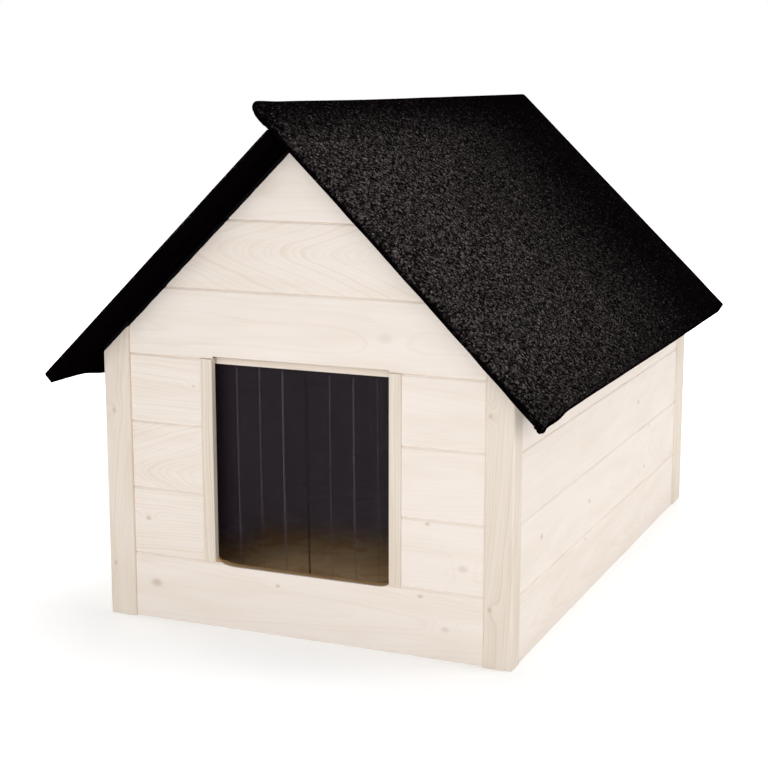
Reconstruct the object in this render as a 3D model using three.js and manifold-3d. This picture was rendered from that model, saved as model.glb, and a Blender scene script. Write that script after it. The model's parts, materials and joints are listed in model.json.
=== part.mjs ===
// Dog house: boarded walls on four corner posts, a ribbed door curtain in two leaves,
// and a lift-off roof of two felted panels.
// Millimetres. +X is the right of the house seen from the front, +Y its rear, +Z up.
// The origin is on the ground, under the middle of the whole house with its roof.

import * as THREE from 'three';
import { mergeVertices } from 'three/addons/utils/BufferGeometryUtils.js';
import Module from 'manifold-3d';

const wasm = await Module();
wasm.setup();

// ---------------------------------------------------------------- driving dimensions

// Body
const bodyWidth = 570;          // over the corner posts
const bodyDepth = 900;          // over the corner posts
const wallApexHeight = 640;     // where the two roof slopes meet, on top of the gable walls
const roofPitch = THREE.MathUtils.degToRad(44);

// Wall boards
const boardThickness = 14;
const courseHeight = 90;        // height that one board covers
const lowestCourseHeight = 88;  // the lowest board has lost its grooved edge
const tongueHeight = 5.5;
const tongueThickness = 5;
const tongueClearance = 0.3;
const upperBevel = 2.4;         // bevels that make the V of each joint
const lowerBevel = 1.4;
const leastBoardHeight = 15;    // a lower strip than this is left out

// Corner posts
const postFace = 38;            // width that shows on the gables
const frontPostSide = 31;       // width that shows on the side walls
const rearPostSide = 55;
const postRebateLip = 12;       // stands behind the ends of the boards
const postBevel = 1.5;
const gableRecess = 5;          // boards lie this far behind the faces of the posts
const sideRecess = 2;

// Doorway
const doorX = -2.5;             // the doorway lies a little left of the middle
const doorWidth = 246;          // between the trims
const doorCourses = 3;          // boards that the doorway interrupts
const trimWidth = 16.5;
const trimThickness = 10;
const trimProud = 1.5;
const trimBevel = 1;
const headerNotchDepth = 3.5;   // cut above the doorway, between the trims
const sillNotchDepth = 3.5;     // hand cut below the lowest joint
const sillNotchRun = 30;        // long rounded corner on the left
const sillNotchRunRight = 17;
const sillNotchLift = 10.5;     // how far each rounded corner climbs
const sillNotchLiftRight = 6;

// Curtain
const curtainOverlap = 27;      // past each side of the doorway
const curtainSlitX = -1.5;      // from the middle of the doorway
const slitWidth = 1.5;
const sheetThickness = 2;
const ribPitch = 33;
const ribWidth = 4;
const ribHeight = 1;
const ribSetback = 4;           // ribs stop short of the bending line
const curtainFloorGap = 10;
const curtainLean = 6;          // the free lower edge curls inward
const leanSteps = 10;
const railHeight = 30;
const railThickness = 10;
const railEnd = 10;             // the lath runs past each end of the curtain
const railDrop = 8;             // how far the lath reaches below the header
const marginHeight = 24;        // the part of the curtain that is clamped
const clampHeight = 18;
const clampThickness = 6;
const screwHeadRadius = 3.5;
const screwHeadHeight = 1.8;
const screwShankRadius = 1.6;
const screwCount = 3;
const screwEnd = 30;            // outer screws lie this far from the ends of the clamp

// Floor and wall plates
const bearerHeight = 40;
const bearerWidth = 40;
const bearerCount = 3;
const bearerGap = 8;            // end bearers, from the inner faces of the posts
const floorThickness = 12;
const floorClearance = 3;
const plateWidth = 20;
const plateDrop = 24;           // below the height where the roof meets the side wall

// Roof
const panelThickness = 17;      // board and felt together
const feltThickness = 2.7;
const feltFold = 2.5;           // felt turned down round the edges of the board
const feltHem = 0.8;            // the folds stop this far above the panel's underside
const eaveOverhang = 57;        // from the posts to the outermost edge of each panel
const frontOverhang = 56;
const rearOverhang = 38;
const ridgeLap = 44;            // right panel runs this far past the apex, up its slope
const ridgeClearance = 1;
const ridgeBattenSide = 30;
const ridgeBattenEnd = 3;       // clearance at each gable
const crossBattenWidth = 30;
const crossBattenThickness = 20;
const crossBattenTop = 36;      // distances from the apex, down the slope
const crossBattenBottom = 300;
const crossBattenEnd = 2;       // clearance to the gable

const seatGap = 0.3;            // between pieces that rest on each other in turned groups

// ---------------------------------------------------------------- derived sizes

const slope = Math.tan(roofPitch);
const halfWidth = bodyWidth / 2;
const halfDepth = bodyDepth / 2;
const frontPostInner = -halfDepth + frontPostSide + postRebateLip;
const rearPostInner = halfDepth - rearPostSide - postRebateLip;
const eaveReach = halfWidth + eaveOverhang;
const wallLength = bodyWidth - 2 * postFace;
const gableInner = gableRecess + boardThickness;
const sideInner = sideRecess + boardThickness;
const doorHalf = doorWidth / 2;
const trimOuter = doorHalf + trimWidth;
const curtainWidth = doorWidth + 2 * curtainOverlap;
const doorTop = lowestCourseHeight + doorCourses * courseHeight;
const floorTop = bearerHeight + floorThickness;
const railBottom = doorTop - railDrop;
const hingeZ = railBottom;
const beadRadius = sheetThickness / 2;
const hingeY = gableInner + railThickness + beadRadius;
const marginBottom = hingeZ + beadRadius + seatGap;
const clampBottom = marginBottom + marginHeight - clampHeight;
const soffitAt = (x) => wallApexHeight - slope * Math.abs(x);
const far = 2 * (bodyWidth + bodyDepth + wallApexHeight);

// ---------------------------------------------------------------- finishes

const finish = (color, roughness, metalness = 0) =>
  new THREE.MeshStandardMaterial({ color, roughness, metalness });
const whitewashedBoard = finish(0xf0e8de, 0.62);
const whitewashedBatten = finish(0xefe2ca, 0.6);
const plainBatten = finish(0xd9b988, 0.7);
const strandBoard = finish(0xc79a55, 0.75);
const roofingFelt = finish(0x17171a, 0.95);
const blackenedBoard = finish(0x141212, 0.85);
const smokyPlastic = finish(0x2a2530, 0.25);
const zincSteel = finish(0xb4b4b0, 0.4, 0.9);

// ---------------------------------------------------------------- helpers

const axes = {
  x: [[0, 1, 0], [0, 0, 1], [1, 0, 0]],
  y: [[0, 0, 1], [1, 0, 0], [0, 1, 0]],
  z: [[1, 0, 0], [0, 1, 0], [0, 0, 1]],
};

// An outline pushed along an axis. Its points are [y, z], [x, z] or [x, y].
function prism(axis, outline, from, to, steps = 1) {
  const turned = axis === 'y' ? outline.map(([a, b]) => [b, a]) : outline;
  const shape = new THREE.Shape(turned.map(([a, b]) => new THREE.Vector2(a, b)));
  const geometry = new THREE.ExtrudeGeometry(shape, { depth: to - from, steps, bevelEnabled: false });
  geometry.translate(0, 0, from);
  const basis = axes[axis].map((direction) => new THREE.Vector3(...direction));
  return geometry.applyMatrix4(new THREE.Matrix4().makeBasis(...basis));
}

function block(x0, x1, y0, y1, z0, z1) {
  return prism('z', [[x0, y0], [x1, y0], [x1, y1], [x0, y1]], z0, z1);
}

function toSolid(geometry) {
  const bare = geometry.clone();
  bare.deleteAttribute('normal');
  bare.deleteAttribute('uv');
  const merged = mergeVertices(bare, 1e-4);
  return new wasm.Manifold(new wasm.Mesh({
    numProp: 3,
    vertProperties: new Float32Array(merged.attributes.position.array),
    triVerts: new Uint32Array(merged.index.array),
  }));
}

function toGeometry(solid) {
  const { vertProperties, triVerts } = solid.getMesh();
  const geometry = new THREE.BufferGeometry();
  geometry.setAttribute('position', new THREE.BufferAttribute(new Float32Array(vertProperties), 3));
  geometry.setIndex(new THREE.BufferAttribute(new Uint32Array(triVerts), 1));
  geometry.computeVertexNormals();
  return geometry;
}

const clip = (geometry, tool) => toGeometry(toSolid(geometry).intersect(toSolid(tool)));
const cut = (geometry, tool) => toGeometry(toSolid(geometry).subtract(toSolid(tool)));
const join = (geometry, other) => toGeometry(toSolid(geometry).add(toSolid(other)));

function piece(parent, name, geometry, material) {
  const mesh = new THREE.Mesh(geometry, material);
  mesh.name = name;
  parent.add(mesh);
  return mesh;
}

function group(parent, x, y, z, turn = 0) {
  const made = new THREE.Group();
  made.position.set(x, y, z);
  made.rotation.z = turn;
  parent.add(made);
  return made;
}

// The space under the roof, in the frame of a gable wall and in that of a side wall.
const underGable = prism('y', [
  [-far, soffitAt(far)], [-far, -far], [far, -far], [far, soffitAt(far)], [0, wallApexHeight],
], -far, far);
const underEave = prism('x', [
  [-far, -far], [halfWidth, -far], [halfWidth, wallApexHeight], [-far, soffitAt(halfWidth + far)],
], -far, far);

// ---------------------------------------------------------------- wall boards

// Section of a board as [y, z], its outer face at y = recess.
function boardOutline(recess, bottom, top, grooved) {
  const outer = recess;
  const inner = recess + boardThickness;
  const tongueOuter = recess + (boardThickness - tongueThickness) / 2;
  const tongueInner = tongueOuter + tongueThickness;
  const grooveTop = bottom + tongueHeight + tongueClearance;
  const points = [
    [outer, bottom + (grooved ? lowerBevel : 0)],
    [outer, top - upperBevel],
    [outer + upperBevel, top],
    [tongueOuter, top],
    [tongueOuter, top + tongueHeight],
    [tongueInner, top + tongueHeight],
    [tongueInner, top],
    [inner, top],
    [inner, bottom],
  ];
  if (grooved) {
    points.push(
      [tongueInner + tongueClearance, bottom],
      [tongueInner + tongueClearance, grooveTop],
      [tongueOuter - tongueClearance, grooveTop],
      [tongueOuter - tongueClearance, bottom],
      [outer + lowerBevel, bottom],
    );
  } else {
    points.push([outer, bottom]);
  }
  return points;
}

// Bottom and top of each course of boards, up to where the roof leaves too little to fill.
function courses(limit) {
  const list = [];
  for (let bottom = 0, top = lowestCourseHeight; bottom < limit - leastBoardHeight; top += courseHeight) {
    list.push([bottom, top]);
    bottom = top;
  }
  return list;
}

function board(recess, [bottom, top], from, to, under) {
  const outline = boardOutline(recess, bottom, top, bottom > 0);
  return clip(prism('x', outline, from, to), under);
}

// ---------------------------------------------------------------- front wall

// The hand-cut notch in the sill, with a long rounded corner on the left.
function sillNotch() {
  const bottom = lowestCourseHeight - sillNotchDepth;
  const above = lowestCourseHeight + courseHeight;
  const shape = [[-doorHalf, above]];
  const corner = (x, run, lift, side) => {
    for (let i = 0; i <= 8; i += 1) {
      const angle = (Math.PI / 2) * (i / 8);
      shape.push([x + side * run * (1 - Math.cos(angle)), bottom + lift * (1 - Math.sin(angle))]);
    }
  };
  corner(-doorHalf, sillNotchRun, sillNotchLift, 1);
  const left = shape.length;
  corner(doorHalf, sillNotchRunRight, sillNotchLiftRight, -1);
  shape.push(...shape.splice(left).reverse(), [doorHalf, above]);
  return prism('y', shape, -far, far).translate(doorX, 0, 0);
}

function trim(side) {
  const front = gableRecess - trimProud;
  const back = front + trimThickness;
  const near = doorX + side * doorHalf;
  const away = doorX + side * trimOuter;
  return prism('z', [
    [near, back],
    [near, front + trimBevel],
    [near + side * trimBevel, front],
    [away, front],
    [away, back],
  ], lowestCourseHeight, doorTop);
}

function frontWall(house) {
  const wall = group(house, 0, -halfDepth, 0);
  const half = wallLength / 2;
  const stack = courses(wallApexHeight);
  let sill = board(gableRecess, stack[0], -half, half, underGable);
  for (const side of [-1, 1]) {
    const edges = [doorHalf, trimOuter].map((x) => doorX + side * x).sort((a, b) => a - b);
    sill = cut(sill, block(edges[0], edges[1], -far, far, lowestCourseHeight, far));
  }
  piece(wall, 'front_sill_board', cut(sill, sillNotch()), whitewashedBoard);
  stack.slice(1, 1 + doorCourses).forEach((course, i) => {
    const left = board(gableRecess, course, -half, doorX - trimOuter, underGable);
    const right = board(gableRecess, course, doorX + trimOuter, half, underGable);
    piece(wall, `front_left_board_${i + 1}`, left, whitewashedBoard);
    piece(wall, `front_right_board_${i + 1}`, right, whitewashedBoard);
  });
  const headerNotch = block(
    doorX - doorHalf, doorX + doorHalf, -far, far, -far, doorTop + headerNotchDepth,
  );
  stack.slice(1 + doorCourses).forEach((course, i) => {
    const across = board(gableRecess, course, -half, half, underGable);
    const shaped = i === 0 ? cut(across, headerNotch) : across;
    piece(wall, `front_gable_board_${i + 1}`, shaped, whitewashedBoard);
  });
  piece(wall, 'door_trim_left', trim(-1), whitewashedBatten);
  piece(wall, 'door_trim_right', trim(1), whitewashedBatten);
  return wall;
}

// ---------------------------------------------------------------- plain walls

function boardedWall(wall, name, [from, to], recess, limit, under) {
  courses(limit).forEach((course, i) => {
    const across = board(recess, course, from, to, under);
    piece(wall, `${name}_board_${i + 1}`, across, whitewashedBoard);
  });
}

function plainWalls(house) {
  const rear = group(house, 0, halfDepth, 0, Math.PI);
  const gableEnds = [-wallLength / 2, wallLength / 2];
  boardedWall(rear, 'rear', gableEnds, gableRecess, wallApexHeight, underGable);
  const eave = soffitAt(halfWidth - sideRecess);
  const right = group(house, halfWidth, 0, 0, Math.PI / 2);
  const front = -halfDepth + frontPostSide;
  const back = halfDepth - rearPostSide;
  boardedWall(right, 'right', [front, back], sideRecess, eave, underEave);
  const left = group(house, -halfWidth, 0, 0, -Math.PI / 2);
  boardedWall(left, 'left', [-back, -front], sideRecess, eave, underEave);
}

// ---------------------------------------------------------------- posts and plates

// Plan of the post in the corner to which signX and signY point, rebated for the boards.
function postOutline(signX, signY) {
  const side = signY < 0 ? frontPostSide : rearPostSide;
  const plan = [
    [0, postBevel],
    [postBevel, 0],
    [postFace - postBevel, 0],
    [postFace, postBevel],
    [postFace, gableInner],
    [postFace + postRebateLip, gableInner],
    [postFace + postRebateLip, side + postRebateLip],
    [sideInner, side + postRebateLip],
    [sideInner, side],
    [postBevel, side],
    [0, side - postBevel],
  ];
  return plan.map(([x, y]) => [signX * (halfWidth - x), signY * (halfDepth - y)]);
}

function posts(house) {
  for (const [end, signY] of [['front', -1], ['rear', 1]]) {
    for (const [side, signX] of [['left', -1], ['right', 1]]) {
      const post = prism('z', postOutline(signX, signY), 0, wallApexHeight);
      piece(house, `corner_post_${end}_${side}`, clip(post, underGable), whitewashedBatten);
    }
  }
}

// Battens along the tops of the side walls, planed to the slope, that carry the roof panels.
function wallPlates(house) {
  const outer = halfWidth - sideInner;
  const inner = outer - plateWidth;
  const bottom = soffitAt(outer) - plateDrop;
  for (const [side, sign] of [['left', -1], ['right', 1]]) {
    const outline = [
      [sign * inner, bottom],
      [sign * outer, bottom],
      [sign * outer, soffitAt(outer)],
      [sign * inner, soffitAt(inner)],
    ];
    piece(house, `wall_plate_${side}`, prism('y', outline, frontPostInner, rearPostInner), plainBatten);
  }
}

// ---------------------------------------------------------------- floor

function floor(house) {
  const bearerReach = halfWidth - sideInner;
  const first = -rearPostInner + bearerGap + bearerWidth / 2;
  const pitch = (-2 * first) / (bearerCount - 1);
  for (let i = 0; i < bearerCount; i += 1) {
    const middle = first + i * pitch;
    const bearer = block(
      -bearerReach, bearerReach, middle - bearerWidth / 2, middle + bearerWidth / 2, 0, bearerHeight,
    );
    piece(house, `floor_bearer_${i + 1}`, bearer, plainBatten);
  }
  const x = bearerReach - floorClearance;
  const y = halfDepth - gableInner - floorClearance;
  const notchX = halfWidth - postFace - postRebateLip - floorClearance;
  const front = frontPostInner + floorClearance;
  const rear = rearPostInner - floorClearance;
  const outline = [
    [-notchX, -y], [notchX, -y], [notchX, front], [x, front],
    [x, rear], [notchX, rear], [notchX, y], [-notchX, y],
    [-notchX, rear], [-x, rear], [-x, front], [-notchX, front],
  ];
  piece(house, 'floor_panel', prism('z', outline, bearerHeight, floorTop), strandBoard);
}

// ---------------------------------------------------------------- curtain

// Leans the free part of a leaf inward, more towards its lower edge.
function lean(geometry) {
  const position = geometry.attributes.position;
  const drop = hingeZ - floorTop - curtainFloorGap;
  for (let i = 0; i < position.count; i += 1) {
    const down = Math.max(0, (hingeZ - position.getZ(i)) / drop);
    position.setY(i, position.getY(i) + curtainLean * down * down);
  }
  return geometry;
}

// Section of a leaf as [x, y], with a rib on both faces at each pitch from the slit.
function leafOutline(from, to, slit) {
  const half = sheetThickness / 2;
  const side = Math.sign(to + from - 2 * slit);
  const ribs = [];
  for (let x = slit + side * ribPitch; x > from + ribWidth && x < to - ribWidth; x += side * ribPitch) {
    ribs.push(x);
  }
  ribs.sort((a, b) => a - b);
  const face = (sign) => ribs.flatMap((x) => [
    [x - ribWidth / 2, sign * half],
    [x - ribWidth / 4, sign * (half + ribHeight)],
    [x + ribWidth / 4, sign * (half + ribHeight)],
    [x + ribWidth / 2, sign * half],
  ]);
  return [[from, -half], ...face(-1), [to, -half], [to, half], ...face(1).reverse(), [from, half]];
}

function leaf(from, to) {
  const bottom = floorTop + curtainFloorGap;
  const half = sheetThickness / 2;
  const ribTop = hingeZ - ribSetback;
  const ribbed = lean(prism('z', leafOutline(from, to, curtainSlitX), bottom, ribTop, leanSteps));
  const plain = lean(prism('z', [[from, -half], [to, -half], [to, half], [from, half]], ribTop, hingeZ));
  const bead = new THREE.CylinderGeometry(beadRadius, beadRadius, to - from, 16);
  bead.rotateZ(Math.PI / 2).translate((from + to) / 2, 0, hingeZ);
  return join(join(ribbed, plain), bead);
}

function screw() {
  const length = clampThickness + sheetThickness + railThickness / 2;
  const profile = [
    [0, -length],
    [screwShankRadius, -length + screwShankRadius],
    [screwShankRadius, 0],
    [screwHeadRadius, 0],
    [screwHeadRadius * 0.8, screwHeadHeight * 0.7],
    [0, screwHeadHeight],
  ].map(([r, h]) => new THREE.Vector2(r, h));
  return new THREE.LatheGeometry(profile, 12);
}

function curtain(doorway) {
  const reach = curtainWidth / 2;
  const leaves = {
    left: [-reach, curtainSlitX - slitWidth / 2],
    right: [curtainSlitX + slitWidth / 2, reach],
  };
  const railFace = gableInner + railThickness;
  const clampFace = railFace + sheetThickness;
  const clampBack = clampFace + clampThickness;
  const screwZ = clampBottom + clampHeight / 2;
  const holes = [];
  for (let i = 0; i < screwCount; i += 1) {
    holes.push(-reach + screwEnd + (i * (curtainWidth - 2 * screwEnd)) / (screwCount - 1));
  }
  const drill = (geometry) => holes.reduce((solid, x) => {
    const bit = new THREE.CylinderGeometry(
      screwShankRadius + seatGap, screwShankRadius + seatGap, 2 * clampBack, 12,
    );
    bit.translate(x, railThickness / 2 + gableInner - seatGap + clampBack, screwZ);
    return cut(solid, bit);
  }, geometry);

  const rail = block(
    -reach - railEnd, reach + railEnd, gableInner, railFace, railBottom, railBottom + railHeight,
  );
  piece(doorway, 'curtain_rail', drill(rail), whitewashedBatten);
  const clampStrip = block(
    -reach, reach, clampFace, clampBack, clampBottom, clampBottom + clampHeight,
  );
  piece(doorway, 'curtain_clamp_strip', drill(clampStrip), plainBatten);
  for (const [side, [from, to]] of Object.entries(leaves)) {
    const margin = block(
      from, to, hingeY - sheetThickness / 2, hingeY + sheetThickness / 2,
      marginBottom, marginBottom + marginHeight,
    );
    piece(doorway, `curtain_margin_${side}`, drill(margin), smokyPlastic);
    piece(doorway, `curtain_leaf_${side}`, leaf(from, to), smokyPlastic).position.y = hingeY;
  }
  holes.forEach((x, i) => {
    const fastener = piece(doorway, `clamp_screw_${i + 1}`, screw(), zincSteel);
    fastener.position.set(x, clampBack + seatGap, screwZ);
  });
}

// ---------------------------------------------------------------- roof

// A roof panel lies in a group turned to its slope: local X runs down the slope from the
// apex, local Z points away from the house. The groups of both panels are turned alike and
// the left one is mirrored by turning it half round.
function panel(roof, side, top) {
  const right = side === 'right';
  const turned = new THREE.Group();
  turned.position.z = wallApexHeight;
  turned.rotation.set(0, roofPitch, right ? 0 : Math.PI, 'ZYX');
  roof.add(turned);
  const bottom = (eaveReach - panelThickness * Math.sin(roofPitch)) / Math.cos(roofPitch);
  const front = right ? -halfDepth - frontOverhang : -halfDepth - rearOverhang;
  const rear = right ? halfDepth + rearOverhang : halfDepth + frontOverhang;
  const under = seatGap;
  const boardTop = panelThickness - feltThickness - seatGap;
  const fold = feltFold + seatGap;
  const topFold = right ? fold : 0;
  const deck = block(top + topFold, bottom - fold, front + fold, rear - fold, under, boardTop);
  piece(turned, `roof_board_${side}`, deck, blackenedBoard);
  const hollow = block(
    right ? top + feltFold : top - fold, bottom - feltFold, front + feltFold, rear - feltFold,
    -panelThickness, panelThickness - feltThickness,
  );
  const felt = block(top, bottom, front, rear, under + feltHem, panelThickness);
  piece(turned, `roof_felt_${side}`, cut(felt, hollow), roofingFelt);

  const inner = halfDepth - gableInner - crossBattenEnd;
  for (const [end, y] of [['front', -1], ['rear', 1]]) {
    const sign = right ? y : -y;
    const edges = [sign * inner, sign * (inner - crossBattenWidth)].sort((a, b) => a - b);
    const batten = block(
      crossBattenTop, crossBattenBottom, edges[0], edges[1], -crossBattenThickness, 0,
    );
    piece(turned, `roof_batten_${end}_${side}`, batten, plainBatten);
  }
}

function ridgeBatten(roof) {
  const reach = ridgeBattenSide * Math.cos(roofPitch);
  const drop = ridgeBattenSide * Math.sin(roofPitch);
  const outline = [
    [0, wallApexHeight],
    [reach, wallApexHeight - drop],
    [0, wallApexHeight - 2 * drop],
    [-reach, wallApexHeight - drop],
  ];
  const end = halfDepth - gableInner - ridgeBattenEnd;
  piece(roof, 'ridge_batten', prism('y', outline, -end, end), plainBatten);
}

// ---------------------------------------------------------------- assembly

const dogHouse = new THREE.Group();
const centred = group(dogHouse, 0, (frontOverhang - rearOverhang) / 2, 0);

curtain(group(frontWall(centred), doorX, 0, 0));
plainWalls(centred);
posts(centred);
wallPlates(centred);
floor(centred);
panel(centred, 'right', -ridgeLap);
panel(centred, 'left', ridgeClearance);
ridgeBatten(centred);

export default dogHouse;
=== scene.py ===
"""Looks of the dog house: whitewashed boards, mineral felt and a smoky ribbed door curtain.

Metres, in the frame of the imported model: +X is the right of the house seen from the front,
+Y its rear, +Z up. Every piece is made over the solid that it replaces.
"""

import json
import math
import random
from collections import namedtuple

import bmesh
import bpy
from mathutils import Euler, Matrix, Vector, noise

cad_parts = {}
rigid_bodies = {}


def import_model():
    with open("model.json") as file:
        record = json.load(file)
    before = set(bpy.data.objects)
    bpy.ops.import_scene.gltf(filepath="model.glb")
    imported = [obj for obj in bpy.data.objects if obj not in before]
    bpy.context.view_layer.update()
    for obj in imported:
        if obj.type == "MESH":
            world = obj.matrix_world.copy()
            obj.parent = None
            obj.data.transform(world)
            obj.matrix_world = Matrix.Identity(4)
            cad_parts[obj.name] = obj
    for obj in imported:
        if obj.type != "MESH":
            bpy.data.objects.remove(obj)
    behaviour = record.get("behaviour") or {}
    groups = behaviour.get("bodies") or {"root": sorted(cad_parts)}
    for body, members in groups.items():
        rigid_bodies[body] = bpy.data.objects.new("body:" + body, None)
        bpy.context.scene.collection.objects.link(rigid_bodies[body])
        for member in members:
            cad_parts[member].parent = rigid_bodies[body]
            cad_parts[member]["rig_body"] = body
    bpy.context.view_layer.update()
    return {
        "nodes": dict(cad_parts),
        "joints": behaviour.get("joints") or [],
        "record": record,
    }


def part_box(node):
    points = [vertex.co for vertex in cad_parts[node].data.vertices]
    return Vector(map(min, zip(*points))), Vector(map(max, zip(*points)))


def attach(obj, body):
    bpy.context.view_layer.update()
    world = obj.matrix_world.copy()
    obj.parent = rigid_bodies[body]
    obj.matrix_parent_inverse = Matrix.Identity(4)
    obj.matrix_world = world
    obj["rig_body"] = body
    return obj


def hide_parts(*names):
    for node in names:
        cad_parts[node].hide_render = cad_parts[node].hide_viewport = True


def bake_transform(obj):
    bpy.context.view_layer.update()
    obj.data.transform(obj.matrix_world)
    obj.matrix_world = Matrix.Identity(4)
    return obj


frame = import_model()

MM = 0.001
RIGHT = Vector((1, 0, 0))
REAR = Vector((0, 1, 0))
UP = Vector((0, 0, 1))
ROOF_PITCH = math.radians(44)
DOWN_SLOPE = {
    "right": Vector((math.cos(ROOF_PITCH), 0, -math.sin(ROOF_PITCH))),
    "left": Vector((-math.cos(ROOF_PITCH), 0, -math.sin(ROOF_PITCH))),
}
OUT_OF_SLOPE = {
    "right": Vector((math.sin(ROOF_PITCH), 0, math.cos(ROOF_PITCH))),
    "left": Vector((-math.sin(ROOF_PITCH), 0, math.cos(ROOF_PITCH))),
}
SLOT_OF = {row["node"]: row["material_slot"] for row in frame["record"]["subparts"]}


def span(node, direction):
    """Least and greatest reach of a solid along a direction."""
    reach = [vertex.co.dot(direction) for vertex in frame["nodes"][node].data.vertices]
    return min(reach), max(reach)


def smooth(value, start, end):
    """0 before start, 1 after end, with a soft turn at both; end may lie below start."""
    share = min(1.0, max(0.0, (value - start) / (end - start)))
    return share * share * (3 - 2 * share)


# ---------------------------------------------------------------- camera and lamps

CAMERA_PLACE = (0.8744, -2.2131, 0.7162)
CAMERA_TURN = (math.radians(79.1), 0, math.radians(23.165))
CAMERA_LENS = 75.47
CAMERA_SENSOR = 36

Lamp = namedtuple("Lamp", "name place aim width height power")
LAMPS = (
    Lamp("front softbox", (0.6, -3.2, 1.2), (0, 0, 0.3), 2.4, 1.8, 52),
    Lamp("right softbox", (3.0, 0.3, 1.5), (0, 0, 0.3), 2.0, 1.6, 42),
    Lamp("left softbox", (-3.0, 0.0, 1.4), (0, 0, 0.3), 2.0, 1.6, 41),
    Lamp("rear softbox", (-0.6, 3.2, 0.9), (0, 0, 0.3), 2.4, 1.2, 44),
    Lamp("top softbox", (0.3, 0.2, 3.0), (0, 0, 0), 2.4, 2.4, 52),
)


def camera():
    """The camera, placed and aimed as in the photo."""
    data = bpy.data.cameras.new("camera")
    data.lens = CAMERA_LENS
    data.sensor_width = CAMERA_SENSOR
    made = bpy.data.objects.new("camera", data)
    made.location = CAMERA_PLACE
    made.rotation_euler = Euler(CAMERA_TURN)
    bpy.context.collection.objects.link(made)
    bpy.context.scene.camera = made


def softbox(lamp):
    """A rectangular lamp that faces its aim."""
    data = bpy.data.lights.new(lamp.name, "AREA")
    data.shape = "RECTANGLE"
    data.size = lamp.width
    data.size_y = lamp.height
    data.energy = lamp.power
    made = bpy.data.objects.new(lamp.name, data)
    made.location = lamp.place
    aim = Vector(lamp.aim) - Vector(lamp.place)
    made.rotation_euler = aim.to_track_quat("-Z", "Y").to_euler()
    bpy.context.collection.objects.link(made)


# ---------------------------------------------------------------- node helpers


def fill(tree, socket, value):
    """Gives an input a plain value, or links it to an output."""
    if isinstance(value, bpy.types.NodeSocket):
        tree.links.new(value, socket)
    else:
        socket.default_value = value


def add(tree, kind, *values, named=None, **settings):
    """A node with settings. Values fill its inputs in turn, and named fills others."""
    made = tree.nodes.new(kind)
    for key, value in settings.items():
        setattr(made, key, value)
    for key, value in [*enumerate(values), *(named or {}).items()]:
        fill(tree, made.inputs[key], value)
    return made


def math_of(tree, operation, *values):
    return add(tree, "ShaderNodeMath", *values, operation=operation).outputs[0]


def vector_of(tree, operation, *values):
    return add(tree, "ShaderNodeVectorMath", *values, operation=operation).outputs[0]


def length_of(tree, vector):
    made = add(tree, "ShaderNodeVectorMath", vector, operation="LENGTH")
    return made.outputs["Value"]


def parts_of(tree, vector):
    return add(tree, "ShaderNodeSeparateXYZ", vector).outputs


def step_of(tree, value, start, end):
    """The node form of smooth()."""
    made = add(tree, "ShaderNodeMapRange", value, start, end, 0.0, 1.0)
    made.interpolation_type = "SMOOTHSTEP"
    return made.outputs[0]


def range_of(tree, value, low, high):
    """A value from 0 to 1 carried over to low to high."""
    return add(tree, "ShaderNodeMapRange", value, 0.0, 1.0, low, high).outputs[0]


def mix_of(tree, share, first, second):
    made = add(tree, "ShaderNodeMix", named={0: share, 6: first, 7: second}, data_type="RGBA")
    return made.outputs[2]


def noise_of(tree, vector, scale, detail=2.0):
    """Soft noise around 0.5, with one scale or with a scale for each axis."""
    if isinstance(scale, tuple):
        vector, scale = vector_of(tree, "MULTIPLY", vector, scale), 1.0
    inputs = {"Vector": vector, "Scale": scale, "Detail": detail}
    return add(tree, "ShaderNodeTexNoise", named=inputs).outputs[0]


def cells_of(tree, vector, scale):
    """The outputs of a pattern of cells, each with a random colour."""
    return add(tree, "ShaderNodeTexVoronoi", named={"Vector": vector, "Scale": scale}).outputs


def place_of(tree):
    """The place on a piece, which moves with it."""
    return add(tree, "ShaderNodeTexCoord").outputs["Object"]


def attribute_of(tree, name):
    return add(tree, "ShaderNodeAttribute", attribute_name=name).outputs["Vector"]


def amount_of(tree, name):
    return add(tree, "ShaderNodeAttribute", attribute_name=name).outputs["Fac"]


SOCKETS = {"value": "NodeSocketFloat", "vector": "NodeSocketVector", "colour": "NodeSocketColor"}


def new_group(name, inputs, outputs):
    """An empty shader group, with the sockets that it gives inside and those that it fills."""
    tree = bpy.data.node_groups.new(name, "ShaderNodeTree")
    for label, kind in inputs.items():
        tree.interface.new_socket(label, in_out="INPUT", socket_type=SOCKETS[kind])
    for label, kind in outputs.items():
        tree.interface.new_socket(label, in_out="OUTPUT", socket_type=SOCKETS[kind])
    given = tree.nodes.new("NodeGroupInput").outputs
    filled = tree.nodes.new("NodeGroupOutput").inputs
    return tree, given, filled


def use(tree, group, **inputs):
    """The outputs of a group placed in a tree. An input's name has _ for each space."""
    made = tree.nodes.new("ShaderNodeGroup")
    made.node_tree = group
    for key, value in inputs.items():
        fill(tree, made.inputs[key.replace("_", " ")], value)
    return made.outputs


def new_material(name, **values):
    """A material with its shader, whose uniform values are set on the shader itself."""
    made = bpy.data.materials.new(name)
    made.use_nodes = True
    shader = made.node_tree.nodes["Principled BSDF"]
    for key, value in values.items():
        shader.inputs[key.replace("_", " ")].default_value = value
    return made, made.node_tree, shader.inputs


def relief(tree, height, strength, distance):
    """A bump's normal from a height of 0 to 1, distance deep."""
    inputs = {"Height": height, "Strength": strength, "Distance": distance}
    return add(tree, "ShaderNodeBump", named=inputs).outputs[0]


# ---------------------------------------------------------------- stage

WHITE = (1, 1, 1, 1)
AMBIENT = 0.2
FLOOR_SIZE = 24
FLOOR_COLOUR = (0.86, 0.86, 0.86, 1)
FLOOR_GLOW = 0.22
SHADOW_REACH = 0.75
WHITE_REACH = 1.5


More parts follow.
